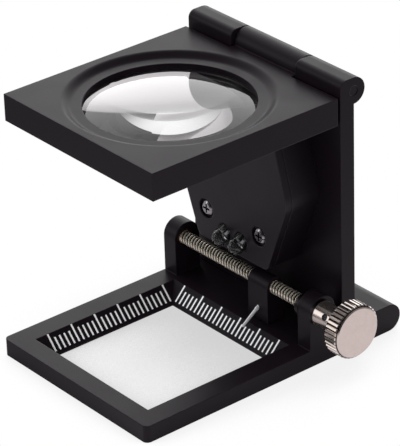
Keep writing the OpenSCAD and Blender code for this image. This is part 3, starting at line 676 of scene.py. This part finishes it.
class MAGNIFIER_OT_needle(bpy.types.Operator):
    """Build the thin pointer needle, with a bead where it leaves the carriage"""
    bl_idname = "magnifier.needle"
    bl_label = "Pointer needle"

    def execute(self, context):
        low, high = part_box("needle")
        bead = (high.x - low.x) / 2
        shaft = 0.8 * bead
        seat = -1.2 * MM
        neck = -0.1 * MM
        tip = 4.4 * MM
        profile = [(0.0, seat), (shaft, seat), (shaft, neck)]
        for k in range(1, 8):
            angle = math.pi * k / 8
            profile.append((max(shaft, bead * math.sin(angle)), bead * (0.8 - math.cos(angle))))
        profile += [(shaft, 2.2 * bead), (0.8 * shaft, tip - shaft), (0.5 * shaft, tip - 0.3 * shaft),
                    (0.0, tip - 0.1 * shaft)]
        mesh = turned("pointer_needle", profile, (0, 0, 0), "Z", sides=24)
        start = Vector(((low.x + high.x) / 2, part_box("carriage")[0].y, NEEDLE_HEIGHT))
        mesh.transform(Matrix.Translation(start) @ Matrix.Rotation(NEEDLE_TILT, 4, "X"))
        steel = plated("needle_steel", (0.9, 0.9, 0.94), 0.35, metallic=0.5)
        piece = new_object("pointer_needle", smooth(mesh), steel)
        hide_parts("needle")
        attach(piece, "pointer_carriage")
        return {"FINISHED"}


class MAGNIFIER_OT_lens(bpy.types.Operator):
    """Clear glass lens and its black retaining ring"""
    bl_idname = "magnifier.lens"
    bl_label = "Lens"

    def execute(self, context):
        low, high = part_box("lens")
        edge = context.scene.magnifier_lens.edge
        radius = (high.x - low.x) / 2
        bulge = (high.z - low.z - edge) / 2
        sphere = (radius * radius + bulge * bulge) / (2 * bulge)
        steps = context.scene.magnifier_lens.steps
        face = []
        for k in range(steps + 1):
            out = radius * k / steps
            face.append((out, edge / 2 + bulge - sphere + math.sqrt(sphere * sphere - out * out)))
        profile = face + [(out, -height) for out, height in reversed(face)]
        mesh = turned("smooth_lens", profile, (low + high) / 2, "Z", sides=160)
        piece = new_object("smooth_lens", smooth(mesh, 45), glass("lens_glass", (0.985, 0.99, 0.988), 1.5, 260.0))
        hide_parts("lens")
        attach(piece, "lens_plate")
        give(coated("ring_black", (0.006, 0.0055, 0.006), roughness=0.34, specular=0.25, grain=6000.0, mottle=400.0,
                    edge_highlight=0.5, edge_highlight_width=0.08 * MM, bump_depth=0.006 * MM), "lens_retaining_ring")
        return {"FINISHED"}


# Metal blocks inside a clear lamp, as centre and size in mm in the lamp's own frame: two posts and a crossbar
LEAD_BLOCKS = (((0.42, 0, -0.5), (0.62, 0.36, 1.9)), ((-0.55, 0, -0.55), (0.34, 0.36, 1.6)),
               ((-0.36, 0, 0.2), (0.5, 0.36, 0.3)))


class MAGNIFIER_OT_lamp(bpy.types.Operator):
    """Lamp housing, cover, screws, switch, lamps and what lies inside"""
    bl_idname = "magnifier.lamp"
    bl_label = "Lamp"

    def execute(self, context):
        # The housing, switch and board get a painted highlight on their sharp edges.
        give(coated("lamp_plastic", context.scene.magnifier_finish.lamp, roughness=0.42, specular=0.27, grain=9500.0,
                    mottle=220.0, edge_highlight=0.9, edge_highlight_width=0.1 * MM, bump_depth=0.002 * MM, soft=0.35 * MM),
             "lamp_body", "lamp_cover", "switch_body")
        give(coated("switch_plastic", (0.005, 0.005, 0.005), roughness=0.32, specular=0.3, grain=7000.0, mottle=500.0,
                    edge_highlight=0.4, edge_highlight_width=0.06 * MM, bump_depth=0.005 * MM), "switch_slider")
        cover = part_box("lamp_cover")[0].y
        # Screw heads get a painted highlight on their edges; the cover screws also get painted shade in their cross.
        give(plated("screw_steel", (0.42, 0.4, 0.42), 0.18, edge_highlight=1.0, bright=(0.95, 0.93, 0.95),
                    shaded_recess=(cover + 0.1 * MM, cover + 0.3 * MM)), "cover_screws")
        give(plated("screw_dark", (0.12, 0.11, 0.12), 0.25, edge_highlight=1.0, bright=(0.7, 0.68, 0.7)), "body_screws")
        give(glass("led_resin", (0.92, 0.93, 0.935), 1.5, 900.0, clear_share=0.995), "led_left", "led_right")
        give(coated("board_green", (0.02, 0.14, 0.07), roughness=0.35, specular=0.5, grain=3000.0, mottle=900.0,
                    edge_highlight=0.3, edge_highlight_width=0.08 * MM, bump_depth=0.01 * MM), "circuit_board")
        give(plated("cell_steel", (0.62, 0.61, 0.59), 0.22), "battery_cells")
        give(plated("contact_nickel", (0.7, 0.62, 0.48), 0.3), "rear_contact", "front_contact")
        self.lead_frames(cover)
        return {"FINISHED"}

    def lead_frames(self, cover):
        """The metal posts and the cup inside each clear lamp, from where its axis meets the cover's face."""
        work = bmesh.new()
        for name in ("led_left", "led_right"):
            low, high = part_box(name)
            middle = ((low.x + high.x) / 2, cover, LAMP_HEIGHT)
            spot = Matrix.Translation(middle) @ Matrix.Rotation(LAMP_TILT, 4, "X")
            for centre, size in LEAD_BLOCKS:
                block = bmesh.ops.create_cube(work, size=1.0)["verts"]
                bmesh.ops.scale(work, vec=Vector(size) * MM, verts=block)
                bmesh.ops.translate(work, vec=Vector(centre) * MM, verts=block)
                bmesh.ops.transform(work, matrix=spot, verts=block)
            cup = bmesh.ops.create_cone(work, cap_ends=True, segments=24, radius1=0.3 * MM, radius2=0.5 * MM,
                                        depth=0.3 * MM)["verts"]
            bmesh.ops.translate(work, vec=(0.42 * MM, 0, 0.58 * MM), verts=cup)
            bmesh.ops.transform(work, matrix=spot, verts=cup)
        sharp_angle = 1.2
        sharp = [edge for edge in work.edges if edge.calc_face_angle(0) > sharp_angle]
        bmesh.ops.bevel(work, geom=sharp, offset=0.05 * MM, segments=2, affect="EDGES")
        mesh = finished("lead_frames", work)
        piece = new_object("lead_frames", smooth(mesh), plated("lead_silver", (0.8, 0.8, 0.82), 0.25))
        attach(piece, "column")


# Stage

class MAGNIFIER_OT_stage(bpy.types.Operator):
    """White floor, soft light and the camera"""
    bl_idname = "magnifier.stage"
    bl_label = "Studio"

    def execute(self, context):
        scene = context.scene
        studio = scene.magnifier_studio
        scene.view_settings.view_transform = "Standard"
        self.floor()
        scene.world = self.world(studio)
        middle = Vector((0, 10, 22)) * MM
        self.softbox("key_light", middle + Vector((-0.55, 0.58, 0.47)), middle, 0.55, 0.45, studio.key)
        self.softbox("top_light", middle + Vector((-0.54, -0.09, 0.58)), middle, 0.45, 0.6, studio.top)
        camera = bpy.data.cameras.new("camera")
        camera.sensor_width = 36
        camera.lens = studio.focal
        camera.shift_x, camera.shift_y = CAMERA_SHIFT
        camera.clip_start = 0.02
        camera.clip_end = 10
        holder = bpy.data.objects.new("camera", camera)
        holder.location = Vector(CAMERA_PLACE) * MM
        holder.rotation_euler = Euler([math.radians(angle) for angle in CAMERA_TURN])
        scene.collection.objects.link(holder)
        scene.camera = holder
        return {"FINISHED"}

    def floor(self):
        """The white floor, which looks different to the camera, through glass and in shiny surfaces."""
        work = bmesh.new()
        bmesh.ops.create_grid(work, x_segments=1, y_segments=1, size=1.5)
        bmesh.ops.translate(work, vec=(0, 0, FLOOR_HEIGHT), verts=work.verts)
        mesh = finished("floor", work)
        material, tree, shader = new_material("floor_white")
        shader.inputs["Base Color"].default_value = (0.88, 0.875, 0.9, 1)
        shader.inputs["Roughness"].default_value = 0.9
        shader.inputs["Specular IOR Level"].default_value = 0.1
        path = add(tree, "ShaderNodeLightPath").outputs
        open_sky = add(tree, "ShaderNodeAmbientOcclusion", {"Distance": 60 * MM}, samples=16).outputs["AO"]
        place = object_place(tree)
        x, y = place["X"], place["Y"]

        # Straight on it lets the white world show through, less where the object keeps light off it
        off_window = calc(tree, "MAXIMUM", calc(tree, "ABSOLUTE", x), calc(tree, "ABSOLUTE", y))
        deepest = ramp(tree, off_window, 13 * MM, 18 * MM, 0.64, 0.87)
        direct = add(tree, "ShaderNodeBsdfTransparent", {"Color": ramp(tree, open_sky, 0.5, 0.75, deepest, 1.0)})

        # Through glass it glows where it is lit
        darkest = ramp(tree, off_window, 13 * MM, 18 * MM, 0.25, 0.6)
        lit = ramp(tree, open_sky, 0.5, 0.79, darkest, 1.0)
        glow = add(tree, "ShaderNodeEmission", {"Color": (0.98, 0.98, 1, 1), "Strength": 0.66})
        lens_view = add(tree, "ShaderNodeMixShader", {
            0: product(tree, path["Is Transmission Ray"], lit), 1: shader.outputs[0], 2: glow.outputs[0]})
        seen = add(tree, "ShaderNodeMixShader", {
            0: path["Is Camera Ray"], 1: lens_view.outputs[0], 2: direct.outputs[0]})

        # Shiny surfaces see it darker near the object, in front of it and far away
        towards = calc(tree, "ADD", calc(tree, "MULTIPLY", x, -0.79), calc(tree, "MULTIPLY", y, -0.62))
        front = ramp(tree, towards, -10 * MM, 30 * MM, 0.95, 0.55)
        near = ramp(tree, distance_from_axis(tree, x, y), 50 * MM, 120 * MM, 1.0, 0.6)
        shaded = ramp(tree, open_sky, 0.4, 0.85, 0.42, 1.0)
        mirrored = add(tree, "ShaderNodeEmission", {
            "Color": (1, 0.955, 0.985, 1), "Strength": product(tree, shaded, front, near)})

        mixed = add(tree, "ShaderNodeMixShader", {
            0: path["Is Glossy Ray"], 1: seen.outputs[0], 2: mirrored.outputs[0]})
        tree.links.new(mixed.outputs[0], node_of_type(tree, "OUTPUT_MATERIAL").inputs["Surface"])
        new_object("floor", mesh, material)

    def world(self, studio):
        """White to the camera and through glass, even for matt surfaces, and shaped for shiny ones."""
        world = bpy.data.worlds.new("studio")
        world.use_nodes = True
        tree = world.node_tree
        background = node_of_type(tree, "BACKGROUND")
        background.inputs["Color"].default_value = WHITE
        path = add(tree, "ShaderNodeLightPath").outputs
        seen = calc(tree, "MAXIMUM", path["Is Camera Ray"], path["Is Transmission Ray"])
        even = calc(tree, "MULTIPLY_ADD", seen, 1.0 - studio.fill, studio.fill)

        # What shiny surfaces see: a light back and left, a dimmer top, a strip in front, and less of it inside glass
        towards = add(tree, "ShaderNodeSeparateXYZ", {0: add(tree, "ShaderNodeTexCoord").outputs["Generated"]}).outputs
        behind = ramp(tree, towards["Y"], -0.7, 0.6, studio.front, studio.back)
        left = ramp(tree, towards["X"], 0.15, -0.6, 0.1, 1.0)
        overhead = ramp(tree, towards["Z"], 0.62, 0.95, 1.0, 0.35)
        strip = product(
            tree, ramp(tree, towards["Y"], -0.52, -0.6, 0.0, studio.strip),
            ramp(tree, towards["X"], -0.5, -0.6, 0.0, 1.0), ramp(tree, towards["Z"], 0.0, 0.06, 0.0, 1.0))
        outside = ramp(tree, path["Transmission Depth"], 0.0, 1.0, 1.0, 0.4)
        mirrored = product(tree, calc(tree, "ADD", product(tree, behind, left, overhead), strip), outside)

        glossy = path["Is Glossy Ray"]
        parts = product(tree, even, calc(tree, "SUBTRACT", 1.0, glossy))
        tree.links.new(calc(tree, "MULTIPLY_ADD", mirrored, glossy, parts), background.inputs["Strength"])
        return world

    def softbox(self, name, place, target, width, height, power):
        """An area light at a place, turned to a target, that mirrors and glass don't show."""
        lamp = bpy.data.lights.new(name, "AREA")
        lamp.shape = "RECTANGLE"
        lamp.size = width
        lamp.size_y = height
        lamp.energy = power
        holder = bpy.data.objects.new(name, lamp)
        holder.location = place
        holder.rotation_euler = (target - place).to_track_quat("-Z", "Y").to_euler()
        holder.visible_glossy = False
        holder.visible_transmission = False
        bpy.context.scene.collection.objects.link(holder)


class MAGNIFIER_PT_panel(bpy.types.Panel):
    bl_idname = "MAGNIFIER_PT_panel"
    bl_label = "Desk magnifier"
    bl_space_type = "VIEW_3D"
    bl_region_type = "UI"
    bl_category = "Magnifier"

    def draw(self, context):
        for operator in OPERATORS:
            self.layout.operator(operator.bl_idname)
        for name, kind in SETTINGS:
            box = self.layout.box()
            for field in kind.__annotations__:
                box.prop(getattr(context.scene, name), field)


OPERATORS = (MAGNIFIER_OT_plates, MAGNIFIER_OT_needle, MAGNIFIER_OT_scale, MAGNIFIER_OT_screw, MAGNIFIER_OT_knob,
             MAGNIFIER_OT_lens, MAGNIFIER_OT_lamp, MAGNIFIER_OT_stage)
CLASSES = tuple(kind for name, kind in SETTINGS) + OPERATORS + (MAGNIFIER_PT_panel,)


def register():
    """Registers the classes and hangs the settings on the scene."""
    for cls in CLASSES:
        bpy.utils.register_class(cls)
    for name, kind in SETTINGS:
        setattr(bpy.types.Scene, name, PointerProperty(type=kind))


def unregister():
    """Takes away what register made."""
    for name, kind in SETTINGS:
        delattr(bpy.types.Scene, name)
    for cls in reversed(CLASSES):
        bpy.utils.unregister_class(cls)


def main():
    """Builds everything."""
    register()
    bpy.ops.magnifier.plates()
    bpy.ops.magnifier.needle()
    bpy.ops.magnifier.scale()
    bpy.ops.magnifier.screw()
    bpy.ops.magnifier.knob()
    bpy.ops.magnifier.lens()
    bpy.ops.magnifier.lamp()
    bpy.ops.magnifier.stage()


if __name__ == "__main__":
    main()
